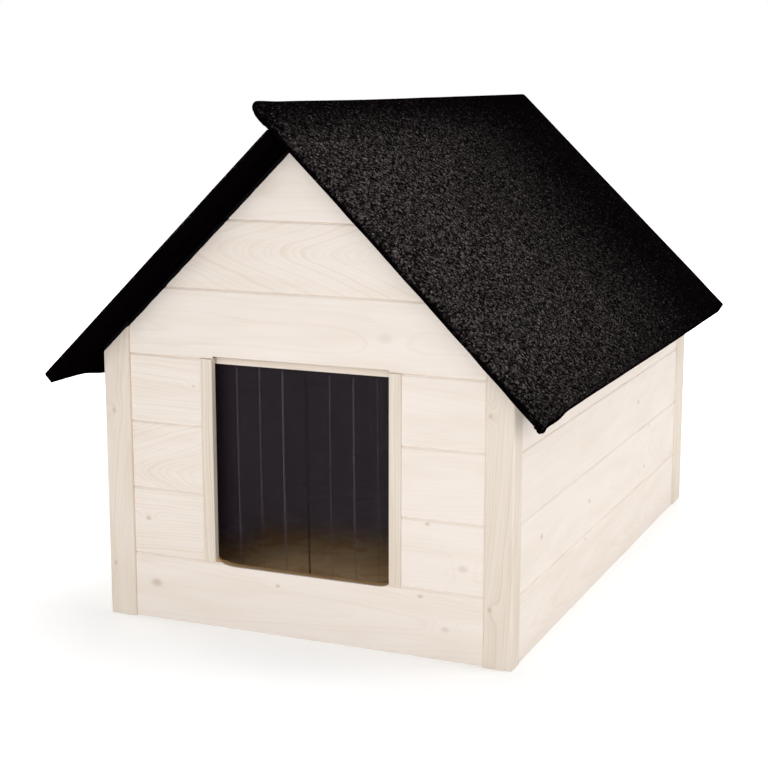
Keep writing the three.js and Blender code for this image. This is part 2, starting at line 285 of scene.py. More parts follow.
def seen_directly(tree):
    """1 for rays from the camera and for those that gloss and glass send on."""
    path = tree.nodes.new("ShaderNodeLightPath").outputs
    either = math_of(tree, "MAXIMUM", path["Is Camera Ray"], path["Is Glossy Ray"])
    return math_of(tree, "MAXIMUM", either, path["Is Transmission Ray"])


def surroundings():
    """A plain pale room: white where it is seen, dimmer where it lights the house."""
    world = bpy.data.worlds.new("pale room")
    bpy.context.scene.world = world
    world.use_nodes = True
    tree = world.node_tree
    background = tree.nodes["Background"].inputs
    background["Color"].default_value = WHITE
    level = range_of(tree, seen_directly(tree), AMBIENT, 1.0)
    tree.links.new(level, background["Strength"])


def floor():
    """A pale floor that holds the shadow of the house and turns white further out."""
    mesh = bpy.data.meshes.new("floor")
    half = FLOOR_SIZE / 2
    corners = [(-half, -half, 0), (half, -half, 0), (half, half, 0), (-half, half, 0)]
    mesh.from_pydata(corners, [], [(0, 1, 2, 3)])
    made = bpy.data.objects.new("floor", mesh)
    bpy.context.collection.objects.link(made)
    material, tree, shader = new_material("pale floor", Base_Color=FLOOR_COLOUR, Roughness=0.9,
                                          Specular_IOR_Level=0.0)
    place = place_of(tree)
    away = step_of(tree, length_of(tree, place), SHADOW_REACH, WHITE_REACH)
    level = range_of(tree, away, FLOOR_GLOW, 1.0)
    glow = math_of(tree, "MULTIPLY", level, seen_directly(tree))
    shader["Emission Color"].default_value = WHITE
    tree.links.new(glow, shader["Emission Strength"])
    mesh.materials.append(material)


# ---------------------------------------------------------------- softwood

# Attributes of every wooden piece. Grain is the place in the tree: along, across and away
# from its heart. Heart holds how fast the rings lean out along the piece, the width of a
# ring and how strongly it shows. Each knot slot is the place relative to one knot, in its
# own widths, with the knot's strength.
GRAIN = "grain"
HEART = "heart"
PAINTED = "painted"
KNOT_SLOTS = ("knot_1", "knot_2", "knot_3", "knot_4")
KNOT_LENGTH = 1.5
NO_KNOT = Vector((1000, 1000, 0))

# The rings bulge round a knot by KNOT_PUSH rings, as far as KNOT_SWELL of its widths. A pair
# is a soft step's start and end, or a range. A triple is a scale for each axis of the grain.
KNOT_RIM = (1.35, 0.25)
KNOT_SWELL = 3.2
KNOT_PUSH = 2.4
WARP = 17 * MM
WARP_SCALE = (5, 26, 26)
UNEVEN_RINGS = 1.6
UNEVEN_SCALE = 0.45
RING_RISE = (0.10, 0.85)
RING_FALL = (1.00, 0.82)
FAINTEST_RING = 0.12
FIBRE_SCALE = (16, 620, 620)
FIBRE_STEP = (0.42, 0.72)
TONE_SCALE = (7, 38, 38)

WASH_TONE_STEP = (0.35, 0.75)
WASH_FIBRES = 0.16
WASH_TONES = 0.30
WASH_KNOTS = 0.62
WASH_ROUGHNESS = (0.62, 0.44)
WASH_FIBRE_HEIGHT = 0.5
WASH_REACH = (0.74, 0.80)
BARE_FIBRES = 0.25
BARE_TONES = 0.25
BLACK_FIBRES = 0.5

BARE_EARLY = (0.62, 0.41, 0.21, 1)
BARE_DARK = (0.40, 0.22, 0.09, 1)
KNOT_BROWN = (0.16, 0.07, 0.03, 1)
WASHED_KNOT = (0.56, 0.44, 0.34, 1)
BLACK_STAIN_AND_GAP_SHADE = (0.0016, 0.0009, 0.0013, 1)
BLACK_GRAIN = (0.0009, 0.0004, 0.0008, 1)

# Strength and depth of the bump of the grain.
WASH_RELIEF = (0.25, 0.15 * MM)
BARE_RELIEF = (0.3, 0.2 * MM)

ROOF_UNDERSIDE = span("roof_board_left", OUT_OF_SLOPE["left"])[0]
# The black band of painted shade along the walls' top edge under the roof boards, standing for the
# shadow gap there.
GAP_SHADE_WIDTH = 6 * MM
GAP_SHADE_WAVER = 1.6 * MM
GAP_SHADE_WAVER_SCALE = 70.0
GAP_SHADE_BLUR = 0.5 * MM


def softwood_group():
    """Rings, fibres, knots and slow changes of tone in planed spruce."""
    slots = {slot.replace("_", " ").title(): "vector" for slot in KNOT_SLOTS}
    tree, given, filled = new_group(
        "softwood",
        {"Grain": "vector", "Heart": "vector", **slots},
        {"Late": "value", "Fibre": "value", "Knot": "value", "Tone": "value"},
    )
    swell = core = 0.0
    for label in slots:
        x, y, strength = parts_of(tree, given[label])
        distance = length_of(tree, add(tree, "ShaderNodeCombineXYZ", x, y).outputs[0])
        squared = math_of(tree, "MULTIPLY", distance, distance)
        fall = math_of(tree, "MULTIPLY", squared, -1 / KNOT_SWELL**2)
        swell = math_of(tree, "ADD", swell, math_of(tree, "EXPONENT", fall))
        spot = math_of(tree, "MULTIPLY", step_of(tree, distance, *KNOT_RIM), strength)
        core = math_of(tree, "MAXIMUM", core, spot)

    along, across, depth = parts_of(tree, given["Grain"])
    lean, width, contrast = parts_of(tree, given["Heart"])
    warp = math_of(tree, "SUBTRACT", noise_of(tree, given["Grain"], WARP_SCALE), 0.5)
    flat = add(tree, "ShaderNodeCombineXYZ", across, depth).outputs[0]
    radius = math_of(tree, "MULTIPLY_ADD", along, lean, length_of(tree, flat))
    radius = math_of(tree, "MULTIPLY_ADD", warp, WARP, radius)
    turns = math_of(tree, "DIVIDE", radius, width)
    turns = math_of(tree, "MULTIPLY_ADD", swell, KNOT_PUSH, turns)
    uneven = add(tree, "ShaderNodeTexNoise", noise_dimensions="1D",
                 named={"W": turns, "Scale": UNEVEN_SCALE, "Detail": 1.0}).outputs[0]
    turns = math_of(tree, "MULTIPLY_ADD", uneven, UNEVEN_RINGS, turns)
    phase = math_of(tree, "FRACT", turns)
    rise = step_of(tree, phase, *RING_RISE)
    late = math_of(tree, "MULTIPLY", rise, step_of(tree, phase, *RING_FALL))
    year = add(tree, "ShaderNodeTexWhiteNoise", noise_dimensions="1D",
               named={"W": math_of(tree, "FLOOR", turns)}).outputs[0]
    late = math_of(tree, "MULTIPLY", late, range_of(tree, year, FAINTEST_RING, 1.0))
    tree.links.new(math_of(tree, "MULTIPLY", late, contrast), filled["Late"])

    fine = noise_of(tree, given["Grain"], FIBRE_SCALE, detail=3.0)
    tree.links.new(step_of(tree, fine, *FIBRE_STEP), filled["Fibre"])
    tree.links.new(core, filled["Knot"])
    tree.links.new(noise_of(tree, given["Grain"], TONE_SCALE, detail=1.0), filled["Tone"])
    return tree


def wash_group():
    """Thin white wash over softwood: the grain shows faintly and warmer where it is thin."""
    tree, given, filled = new_group(
        "whitewash",
        {"Late": "value", "Fibre": "value", "Knot": "value", "Tone": "value",
         "Paint": "colour", "Thin": "colour", "Stain": "colour", "Show": "value"},
        {"Color": "colour", "Roughness": "value", "Height": "value"},
    )
    rings = math_of(tree, "MULTIPLY", given["Late"], given["Show"])
    tones = step_of(tree, given["Tone"], *WASH_TONE_STEP)
    share = math_of(tree, "MULTIPLY_ADD", given["Fibre"], WASH_FIBRES, rings)
    share = math_of(tree, "MULTIPLY_ADD", tones, WASH_TONES, share)
    colour = mix_of(tree, share, given["Paint"], given["Thin"])
    spot = math_of(tree, "MULTIPLY", given["Knot"], WASH_KNOTS)
    colour = mix_of(tree, spot, colour, given["Stain"])
    tree.links.new(colour, filled["Color"])
    tree.links.new(range_of(tree, share, *WASH_ROUGHNESS), filled["Roughness"])
    grain = math_of(tree, "MULTIPLY_ADD", given["Fibre"], WASH_FIBRE_HEIGHT, given["Late"])
    tree.links.new(math_of(tree, "SUBTRACT", 1.0, grain), filled["Height"])
    return tree


def bare_group():
    """Planed spruce with no finish on it."""
    tree, given, filled = new_group(
        "bare softwood",
        {"Late": "value", "Fibre": "value", "Knot": "value", "Tone": "value",
         "Early": "colour", "Dark": "colour", "Stain": "colour"},
        {"Color": "colour", "Height": "value"},
    )
    share = math_of(tree, "MULTIPLY_ADD", given["Fibre"], BARE_FIBRES, given["Late"])
    share = math_of(tree, "MULTIPLY_ADD", given["Tone"], BARE_TONES, share)
    colour = mix_of(tree, share, given["Early"], given["Dark"])
    tree.links.new(mix_of(tree, given["Knot"], colour, given["Stain"]), filled["Color"])
    tree.links.new(math_of(tree, "SUBTRACT", 1.0, share), filled["Height"])
    return tree


SOFTWOOD = softwood_group()
WHITEWASH = wash_group()
BARE = bare_group()


def softwood_in(tree):
    """The softwood group fed from a piece's own attributes."""
    knots = {slot.title(): attribute_of(tree, slot) for slot in KNOT_SLOTS}
    grain = attribute_of(tree, GRAIN)
    wood = use(tree, SOFTWOOD, Grain=grain, Heart=attribute_of(tree, HEART), **knots)
    return {label: wood[label] for label in ("Late", "Fibre", "Knot", "Tone")}


def bare_in(tree, wood):
    """The bare group over a softwood."""
    return use(tree, BARE, **wood, Early=BARE_EARLY, Dark=BARE_DARK, Stain=KNOT_BROWN)


def gap_shade_under_roof(tree):
    """1 on the edge along the roof boards: a black band of painted shade that stands for the
    shadow gap under them.
    """
    place = place_of(tree)
    reach = [
        add(tree, "ShaderNodeVectorMath", place, out, operation="DOT_PRODUCT").outputs["Value"]
        for out in OUT_OF_SLOPE.values()
    ]
    waver = noise_of(tree, place, GAP_SHADE_WAVER_SCALE)
    nearest = math_of(tree, "MAXIMUM", *reach)
    nearest = math_of(tree, "MULTIPLY_ADD", waver, GAP_SHADE_WAVER, nearest)
    start = ROOF_UNDERSIDE - GAP_SHADE_WIDTH + GAP_SHADE_WAVER / 2
    return step_of(tree, nearest, start, start + GAP_SHADE_BLUR)


def whitewashed(name, paint, thin, show):
    """Washed white outside and left bare inside the house, with painted shade in black along the
    edge under the roof boards.
    """
    material, tree, shader = new_material(name, Specular_IOR_Level=0.06)
    wood = softwood_in(tree)
    wash = use(tree, WHITEWASH, **wood, Paint=paint, Thin=thin, Stain=WASHED_KNOT, Show=show)
    bare = bare_in(tree, wood)
    outside = step_of(tree, amount_of(tree, PAINTED), *WASH_REACH)
    colour = mix_of(tree, outside, bare["Color"], wash["Color"])
    # Painted shade: black along the top edge under the roof boards, for the shadow gap there.
    colour = mix_of(tree, gap_shade_under_roof(tree), colour, BLACK_STAIN_AND_GAP_SHADE)
    tree.links.new(colour, shader["Base Color"])
    tree.links.new(wash["Roughness"], shader["Roughness"])
    tree.links.new(relief(tree, wash["Height"], *WASH_RELIEF), shader["Normal"])
    return material


def bare_batten():
    """Planed and left as it is."""
    material, tree, shader = new_material("bare batten", Roughness=0.62, Specular_IOR_Level=0.3)
    wood = softwood_in(tree)
    bare = bare_in(tree, wood)
    tree.links.new(bare["Color"], shader["Base Color"])
    tree.links.new(relief(tree, bare["Height"], *BARE_RELIEF), shader["Normal"])
    return material


def black_board():
    """Stained black, with the grain still to be felt."""
    material, tree, shader = new_material("black board", Roughness=0.9, Specular_IOR_Level=0.0)
    wood = softwood_in(tree)
    share = math_of(tree, "MULTIPLY_ADD", wood["Fibre"], BLACK_FIBRES, wood["Late"])
    tree.links.new(mix_of(tree, share, BLACK_STAIN_AND_GAP_SHADE, BLACK_GRAIN), shader["Base Color"])
    tree.links.new(relief(tree, share, *BARE_RELIEF), shader["Normal"])
    return material


# ---------------------------------------------------------------- strand board

STRAND_LENGTH = 75 * MM
STRAND_WIDTH = 18 * MM
STRAND_BEND = 30 * MM
STRAND_BEND_SCALE = 9.0
STRAND_FIBRES = 0.35
STRAND_FIBRE_SCALE = (30, 900, 900)
STRAND_SLANTS = (0.35, 2.1)
LAYER_SCALE = 38.0
LAYER_EDGE = (0.47, 0.53)
STRAND_PALE = (0.98, 0.70, 0.40, 1)
STRAND_BROWN = (0.80, 0.49, 0.23, 1)
STRAND_RELIEF = (0.4, 0.5 * MM)


def strands_group():
    """One layer of pressed wood strands, lying at a slant: a shade and a height of each."""
    tree, given, filled = new_group(
        "strands",
        {"Place": "vector", "Slant": "value"},
        {"Shade": "value", "Height": "value"},
    )
    turned = add(tree, "ShaderNodeVectorRotate", rotation_type="Z_AXIS",
                 named={"Vector": given["Place"], "Angle": given["Slant"]}).outputs[0]
    bend = noise_of(tree, turned, STRAND_BEND_SCALE, detail=1.0)
    aside = math_of(tree, "MULTIPLY", bend, STRAND_BEND)
    aside = add(tree, "ShaderNodeCombineXYZ", 0.0, aside).outputs[0]
    place = vector_of(tree, "ADD", turned, aside)
    sizes = (1 / STRAND_LENGTH, 1 / STRAND_WIDTH, 1 / STRAND_WIDTH)
    cells = cells_of(tree, vector_of(tree, "MULTIPLY", place, sizes), 1.0)
    shade = parts_of(tree, cells["Color"])[0]
    fibres = noise_of(tree, place, STRAND_FIBRE_SCALE)
    fibred = math_of(tree, "MULTIPLY_ADD", fibres, STRAND_FIBRES, shade)
    tree.links.new(fibred, filled["Shade"])
    tree.links.new(shade, filled["Height"])
    return tree


def strand_board():
    """Two layers of strands, the upper one lying in patches over the lower."""
    material, tree, shader = new_material("strand board", Roughness=0.7, Specular_IOR_Level=0.3)
    group = strands_group()
    place = attribute_of(tree, GRAIN)
    lower, upper = (use(tree, group, Place=place, Slant=slant) for slant in STRAND_SLANTS)
    over = step_of(tree, noise_of(tree, place, LAYER_SCALE), *LAYER_EDGE)
    shade, height = (
        add(tree, "ShaderNodeMix", over, named={2: lower[label], 3: upper[label]}).outputs[0]
        for label in ("Shade", "Height")
    )
    tree.links.new(mix_of(tree, shade, STRAND_PALE, STRAND_BROWN), shader["Base Color"])
    tree.links.new(relief(tree, height, *STRAND_RELIEF), shader["Normal"])
    return material


# ---------------------------------------------------------------- roofing felt

MINERAL_AND_REAR_SHADE = "mineral"
GRANULE = 2.2 * MM
GRANULE_STRETCH = (1, 0.62, 1)
GRANULE_RARITY = 3.2
GRANULE_LIGHT = 0.54
CLUSTER_SCALE = 0.42
CLUSTER_STEP = (0.28, 0.66)
CLUSTER_LOW = 0.40
PATCH_SCALE = 16.0
PATCH_RANGE = (0.8, 1.2)
SPECK_DENSITY = 1.2
SPECK_RARITY = 24.0
SPECK_LIGHT = 0.6
SPECK_COVERAGE = 0.5
BITUMEN = (0.0014, 0.0008, 0.0012, 1)
BITUMEN_DUSTY = (0.0024, 0.0017, 0.0019, 1)
SLATE = (0.172, 0.150, 0.144, 1)
FELT_RELIEF = (0.5, 0.6 * MM)


def granules_group():
    """Crushed slate on bitumen: the light of each grain, rare bright specks, and a height."""
    tree, given, filled = new_group(
        "granules",
        {"Place": "vector", "Size": "value"},
        {"Light": "value", "Speck": "value", "Height": "value"},
    )
    density = math_of(tree, "DIVIDE", 1.0, given["Size"])
    place = vector_of(tree, "MULTIPLY", given["Place"], GRANULE_STRETCH)
    cells = cells_of(tree, place, density)
    grain = math_of(tree, "POWER", parts_of(tree, cells["Color"])[0], GRANULE_RARITY)
    clusters = noise_of(tree, place, math_of(tree, "MULTIPLY", density, CLUSTER_SCALE))
    gather = range_of(tree, step_of(tree, clusters, *CLUSTER_STEP), CLUSTER_LOW, 1.0)
    patches = range_of(tree, noise_of(tree, given["Place"], PATCH_SCALE), *PATCH_RANGE)
    light = math_of(tree, "MULTIPLY", grain, GRANULE_LIGHT)
    light = math_of(tree, "MULTIPLY", light, gather)
    tree.links.new(math_of(tree, "MULTIPLY", light, patches), filled["Light"])
    specks = cells_of(tree, place, math_of(tree, "MULTIPLY", density, SPECK_DENSITY))
    speck = math_of(tree, "POWER", parts_of(tree, specks["Color"])[1], SPECK_RARITY)
    tree.links.new(speck, filled["Speck"])
    tree.links.new(math_of(tree, "SUBTRACT", 1.0, cells["Distance"]), filled["Height"])
    return tree


def roofing_felt():
    """Bitumen under granules, as thickly as the mineral attribute says, which also paints shade
    towards the rear.
    """
    material, tree, shader = new_material("roofing felt", Roughness=0.9, Specular_IOR_Level=0.0)
    place = place_of(tree)
    grains = use(tree, granules_group(), Place=place, Size=GRANULE)
    mineral = amount_of(tree, MINERAL_AND_REAR_SHADE)
    light = math_of(tree, "MULTIPLY", grains["Light"], mineral)
    sparse = math_of(tree, "POWER", mineral, SPECK_COVERAGE)
    specks = math_of(tree, "MULTIPLY", grains["Speck"], sparse)
    light = math_of(tree, "MULTIPLY_ADD", specks, SPECK_LIGHT, light)
    base = mix_of(tree, mineral, BITUMEN, BITUMEN_DUSTY)
    tree.links.new(mix_of(tree, light, base, SLATE), shader["Base Color"])
    height = math_of(tree, "MULTIPLY", grains["Height"], mineral)
    tree.links.new(relief(tree, height, *FELT_RELIEF), shader["Normal"])
    return material


# ---------------------------------------------------------------- curtain plastic and zinc

RIB = "rib"
SLIT_SHADE = "slit_shade"

# Painted shade: the plastic is clear up to a height, and to a lower one towards its left edge;
# above it a dark veil stands for the unlit inside of the house.
CLEAR_TO = (118 * MM, 166 * MM)
SHADE_LOWER_TO_LEFT = (-55 * MM, -115 * MM)
SHADE_LOWER_BY = 30 * MM
SMOKE = (0.0040, 0.0015, 0.0050, 1)
# A pale colour for the real scuff lines and for the painted highlight along the ribs.
PALE_SCUFF_AND_HIGHLIGHT = (0.082, 0.064, 0.081, 1)
RIB_HIGHLIGHT = 0.8
SCUFFED_LINES = 0.35
LINE_SCALE = (420, 420, 3)
SLIT_SHADE_COLOUR = (0.001, 0.0008, 0.001, 1)
SMEAR_SCALE = (16, 16, 5)
SMEAR_ROUGHNESS = (0.22, 0.42)
VEIL = 0.02
SHADE_VEIL_ABOVE = 0.60
VEIL_AT_RIB = 0.22
VEIL_AT_SLIT_SHADE = 0.8
CURTAIN_RELIEF = (0.12, 0.2 * MM)

ZINC_GREY = (0.62, 0.62, 0.60, 1)
SPANGLE_SCALE = 900.0
SPANGLE_ROUGHNESS = (0.25, 0.5)


def smoky_plastic():
    """Smoky PVC with painted highlights on its ribs, pale scuff lines and painted shade at the
    slit; clear low down, with a veil of painted shade above.
    """
    material, tree, shader = new_material("smoky plastic", Specular_IOR_Level=0.10)
    place = place_of(tree)
    rib, cut = amount_of(tree, RIB), amount_of(tree, SLIT_SHADE)
    lines = noise_of(tree, place, LINE_SCALE, detail=3.0)
    # Painted highlight: each rib's shine is painted paler, together with the real scuff lines.
    scuffs_and_highlights = math_of(tree, "MULTIPLY", rib, RIB_HIGHLIGHT)
    scuffs_and_highlights = math_of(tree, "MULTIPLY_ADD", lines, SCUFFED_LINES, scuffs_and_highlights)
    colour = mix_of(tree, scuffs_and_highlights, SMOKE, PALE_SCUFF_AND_HIGHLIGHT)
    # Painted shade: the cut edges at the slit are near black and more opaque, standing for the
    # dark gap between the leaves.
    tree.links.new(mix_of(tree, cut, colour, SLIT_SHADE_COLOUR), shader["Base Color"])
    smears = noise_of(tree, place, SMEAR_SCALE)
    tree.links.new(range_of(tree, smears, *SMEAR_ROUGHNESS), shader["Roughness"])
    x, _, height = parts_of(tree, place)
    # Painted shade: the veil comes in above the clear height, lower towards the left edge.
    height = math_of(tree, "MULTIPLY_ADD", step_of(tree, x, *SHADE_LOWER_TO_LEFT), SHADE_LOWER_BY, height)
    veil = math_of(tree, "MULTIPLY_ADD", step_of(tree, height, *CLEAR_TO), SHADE_VEIL_ABOVE, VEIL)
    veil = math_of(tree, "MULTIPLY_ADD", rib, VEIL_AT_RIB, veil)
    veil = math_of(tree, "MULTIPLY_ADD", cut, VEIL_AT_SLIT_SHADE, veil)
    tree.links.new(veil, shader["Alpha"])
    tree.links.new(relief(tree, lines, *CURTAIN_RELIEF), shader["Normal"])
    return material


def zinc():
    """Plated steel with a fine uneven gloss."""
    material, tree, shader = new_material("zinc", Metallic=1.0, Base_Color=ZINC_GREY)
    spangle = noise_of(tree, place_of(tree), SPANGLE_SCALE, detail=1.0)
    tree.links.new(range_of(tree, spangle, *SPANGLE_ROUGHNESS), shader["Roughness"])
    return material


# The battens are yellower than the boards, and their grain shows more.
FINISHES = {
    "whitewashed_board": whitewashed(
        "whitewashed board", paint=(0.90, 0.822, 0.757, 1), thin=(0.80, 0.685, 0.575, 1), show=0.5
    ),
    "whitewashed_batten": whitewashed(
        "whitewashed batten", paint=(0.82, 0.738, 0.653, 1), thin=(0.69, 0.572, 0.448, 1), show=0.6
    ),
    "plain_batten": bare_batten(),
    "strand_board": strand_board(),
    "roofing_felt": roofing_felt(),
    "black_roof_board": black_board(),
    "smoky_pvc": smoky_plastic(),
    "zinc_screw": zinc(),
}


# ---------------------------------------------------------------- pieces


def finished(bm, name, slot):
    """A bmesh made into an object with the finish of a slot."""
    mesh = bpy.data.meshes.new(name)
    bm.to_mesh(mesh)
    bm.free()
    mesh.materials.append(FINISHES[slot])
    made = bpy.data.objects.new(name, mesh)
    bpy.context.collection.objects.link(made)
    return made


Heart = namedtuple("Heart", "across depth lean ring contrast")
Knot = namedtuple("Knot", "place radius strength")


def front_knot(x, z, radius, strength=1.0):
    return Knot(Vector((x, 0, z)) * MM, radius * MM, strength)


def side_knot(y, z, radius, strength=1.0):
    return Knot(Vector((0, y, z)) * MM, radius * MM, strength)


# Boards whose grain stands out: where the heart lies, how the rings lean and how they show.
HEARTS = {
    "front_gable_board_3": Heart(575 * MM, 40 * MM, 0.03, 4.0 * MM, 0.35),
    "front_gable_board_2": Heart(499 * MM, 10 * MM, -0.34, 5.0 * MM, 1.0),
    "front_gable_board_1": Heart(396 * MM, 9 * MM, 0.03, 7.0 * MM, 0.55),
    "front_left_board_3": Heart(250 * MM, 30 * MM, 0.02, 4.6 * MM, 1.35),
    "front_left_board_2": Heart(203 * MM, 10 * MM, -0.30, 4.6 * MM, 1.4),
    "front_left_board_1": Heart(60 * MM, 25 * MM, -0.03, 4.2 * MM, 1.3),
    "front_right_board_3": Heart(300 * MM, 14 * MM, 0.12, 5.0 * MM, 0.45),
    "front_right_board_2": Heart(290 * MM, 18 * MM, 0.05, 5.0 * MM, 0.35),
    "front_right_board_1": Heart(120 * MM, 18 * MM, 0.06, 5.0 * MM, 0.35),
    "front_sill_board": Heart(42 * MM, 9 * MM, 0.07, 6.0 * MM, 0.5),
    "door_trim_left": Heart(160 * MM, 6 * MM, 0.01, 4.4 * MM, 1.3),
}
KNOTS = {
    "front_sill_board": (front_knot(-216, 49, 6), front_knot(-35, 67, 2.5),
                         front_knot(163, 79, 2.8), front_knot(196, 40, 4, 0.6)),
    "front_left_board_1": (front_knot(-226, 137, 3),),
    "front_left_board_3": (front_knot(-153, 321, 1.8, 0.8),),
    "front_right_board_1": (front_knot(172, 173, 2.5), front_knot(219, 121, 5, 0.6)),
    "front_gable_board_1": (front_knot(115, 400, 7, 0.35),),
    "corner_post_front_left": (front_knot(-271, 281, 3), front_knot(-276, 71, 3)),
    "corner_post_front_right": (front_knot(254, 316, 2.5), front_knot(256, 75, 3)),
    "right_board_1": (side_knot(-119, 81, 2.5),),
    "right_board_2": (side_knot(-322, 139, 4), side_knot(-104, 132, 3.5),
                      side_knot(234, 172, 2.5), side_knot(206, 112, 3)),
    "right_board_3": (side_knot(158, 224, 3.5),),
}
ARRIS = 0.6 * MM
ROOF_ARRIS = 2.0 * MM
RIDGE_EDGE = 5.0 * MM
RIDGE_SEGMENTS = 5
WELD = 0.01 * MM
FLAT = math.radians(0.5)
SHARP = math.radians(20)
PARALLEL = 0.9
BOARD_WASH = 14 * MM
BATTEN_WASH = 45 * MM
HEART_BESIDE = 20 * MM
TRUNK_HALF = 4


def usual_heart(node, across, draw):
    """A heart behind the piece, or a little beside it, for a piece that HEARTS leaves out."""
    low, high = span(node, across)
    return Heart(
        across=draw.uniform(low - HEART_BESIDE, high + HEART_BESIDE),
        depth=draw.uniform(12 * MM, 50 * MM),
        lean=draw.uniform(-0.10, 0.10),
        ring=draw.uniform(3.4 * MM, 5.2 * MM),
        contrast=draw.uniform(0.4, 0.8),
    )


def soften(bm, width, edges=None, segments=2):
    """Rounds the sharp edges, or the given ones, by a width."""
    if edges is None:
        edges = [edge for edge in bm.edges if edge.calc_face_angle(0) > SHARP]
    made = bmesh.ops.bevel(bm, geom=edges, offset=width, segments=segments, affect="EDGES",
                           profile=0.5, clamp_overlap=True)
    for strip in made["faces"]:
        strip.smooth = True


def whole_faces(node):
    """A bmesh of a solid, its triangles joined into whole faces."""
    bm = bmesh.new()
    bm.from_mesh(frame["nodes"][node].data)
    bmesh.ops.remove_doubles(bm, verts=bm.verts, dist=WELD)
    bmesh.ops.dissolve_limit(bm, angle_limit=FLAT, verts=bm.verts, edges=bm.edges)
    return bm


def lay_grain(bm, node, along, face):
    """Writes the attributes that the softwood finishes read."""
    across = face.cross(along)
    draw = random.Random(node)
    heart = HEARTS.get(node) or usual_heart(node, across, draw)
    start = draw.uniform(-TRUNK_HALF, TRUNK_HALF)
    outer = span(node, face)[1]
    if "board" in node:
        flanks, wash = (), BOARD_WASH
    elif node.startswith("corner_post"):
        flanks, wash = (RIGHT if node.endswith("right") else -RIGHT,), BATTEN_WASH
    else:
        flanks, wash = (across, -across), BATTEN_WASH
    edges = [(flank, span(node, flank)[1]) for flank in flanks]
    layers = bm.verts.layers
    grain = layers.float_vector.new(GRAIN)
    tree = layers.float_vector.new(HEART)
    painted = layers.float.new(PAINTED)
    slots = [layers.float_vector.new(slot) for slot in KNOT_SLOTS]
    knots = KNOTS.get(node, ())
    for vertex in bm.verts:
        depth = outer - vertex.co.dot(face)
        vertex[grain] = Vector((vertex.co.dot(along) + start,
                                vertex.co.dot(across) - heart.across,
                                depth + heart.depth))
        vertex[tree] = Vector((heart.lean, heart.ring, heart.contrast))
        skin = min([depth, *(edge - vertex.co.dot(flank) for flank, edge in edges)])
        vertex[painted] = max(0.0, 1 - skin / wash)
        for slot in slots:
            vertex[slot] = NO_KNOT
        for slot, knot in zip(slots, knots):
            away = vertex.co - knot.place
            vertex[slot] = Vector((away.dot(along) / knot.radius / KNOT_LENGTH,
                                   away.dot(across) / knot.radius, knot.strength))


def planed(node, along, face, arris=ARRIS, rounded=None):
    """A wooden piece over its solid, with softened arrises and its grain laid along it.

    Edges for which rounded() is true are rounded further.
    """
    bm = whole_faces(node)
    if rounded:
        soften(bm, RIDGE_EDGE, [edge for edge in bm.edges if rounded(edge)], RIDGE_SEGMENTS)
    soften(bm, arris)
    lay_grain(bm, node, along, face)
    made = finished(bm, f"{node}_planed", SLOT_OF[node])
    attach(made, frame["nodes"][node]["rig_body"])
    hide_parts(node)


def run_of(node):
    """The way the grain runs in a wooden solid, and the way its best face looks."""
    walls = {"front": -REAR, "rear": REAR, "left": -RIGHT, "right": RIGHT}
    words = node.split("_")
    side = words[-1]
    if node.startswith(("corner_post", "door_trim")):
        return UP, REAR if "rear" in words else -REAR
    if node.startswith("roof_batten"):
        return DOWN_SLOPE[side], -OUT_OF_SLOPE[side]
    if node.startswith("roof_board"):
        return REAR, OUT_OF_SLOPE[side]
    if node.startswith(("curtain_rail", "curtain_clamp")):
        return RIGHT, REAR if "clamp" in words else -REAR
    if node.startswith("wall_plate"):
        return REAR, RIGHT if side == "left" else -RIGHT
    if node.startswith("ridge"):
        return REAR, UP
    if node.startswith("floor"):
        return RIGHT, UP
    face = walls[words[0]]
    return UP.cross(face), face


def woodwork():
    """Every wooden piece; the upper edge of the lapping roof board is rounded further."""
    wooden = ("whitewashed_board", "whitewashed_batten", "plain_batten", "strand_board",
              "black_roof_board")
    ridge_edge = span("roof_board_right", DOWN_SLOPE["right"])[0]

    def at_ridge(edge):
        ends = [vertex.co for vertex in edge.verts]
        if any(abs(end.dot(DOWN_SLOPE["right"]) - ridge_edge) > WELD for end in ends):
            return False
        return abs((ends[1] - ends[0]).normalized().dot(REAR)) > PARALLEL

    for node, slot in SLOT_OF.items():
        if slot in wooden:
            along, face = run_of(node)
            arris = ROOF_ARRIS if slot == "black_roof_board" else ARRIS
            planed(node, along, face, arris, at_ridge if node == "roof_board_right" else None)


# ---------------------------------------------------------------- felt on the roof

Fold = namedtuple("Fold", "radius wrap tail")
Lift = namedtuple("Lift", "size start end")
Thinning = namedtuple("Thinning", "least start end")

FELT_THICKNESS = 1.6 * MM
FELT_CELL = 9 * MM
BEND_STEPS = 7
TAIL_STEPS = 3
HEM_BEND = 3.5 * MM
RIDGE_FOLD = Fold(8 * MM, math.pi, 20 * MM)
NOSE_RISE = 4.4 * MM

# Hems hang further in some places, as measured in the photo. A lift is a size in mm that comes
# in between two places, in mm down the slope from the ridge or rearward from the house's middle.
# A point of a hem belongs to an edge when its way out is MOSTLY square to that edge.
EAVE_OUT = 3.8 * MM
EAVE_OUT_LIFTS = (Lift(-1.3, 100, 480), Lift(3.6, -380, -440), Lift(3.0, -480, -496))
EAVE_DOWN_LIFTS = (Lift(8.0, -435, -372), Lift(-5.0, -300, -100))
RAKE_DOWN = 2.6 * MM
RAKE_SWELLS = ((0, 60, 420, 455), (270, 310, 340, 400))
RAKE_TAPER = (-1.6 * MM, 5.4 * MM, 440 * MM, 1.6)
MOSTLY = 0.7
CORNER_HANG = {"left": 1.0, "right": 1.12}
NOSE_LIFTS = (Lift(1.0, -150, -450), Lift(0.8, -435, -490))
NOSE_CURL = (20 * MM, -40 * MM)

# The least share of granules at an edge, and the places between which the full share comes in.
THIN_AT_RIDGE = Thinning(0.05, -44, 60)
THIN_AT_EAVE = Thinning(0.6, 460, 380)
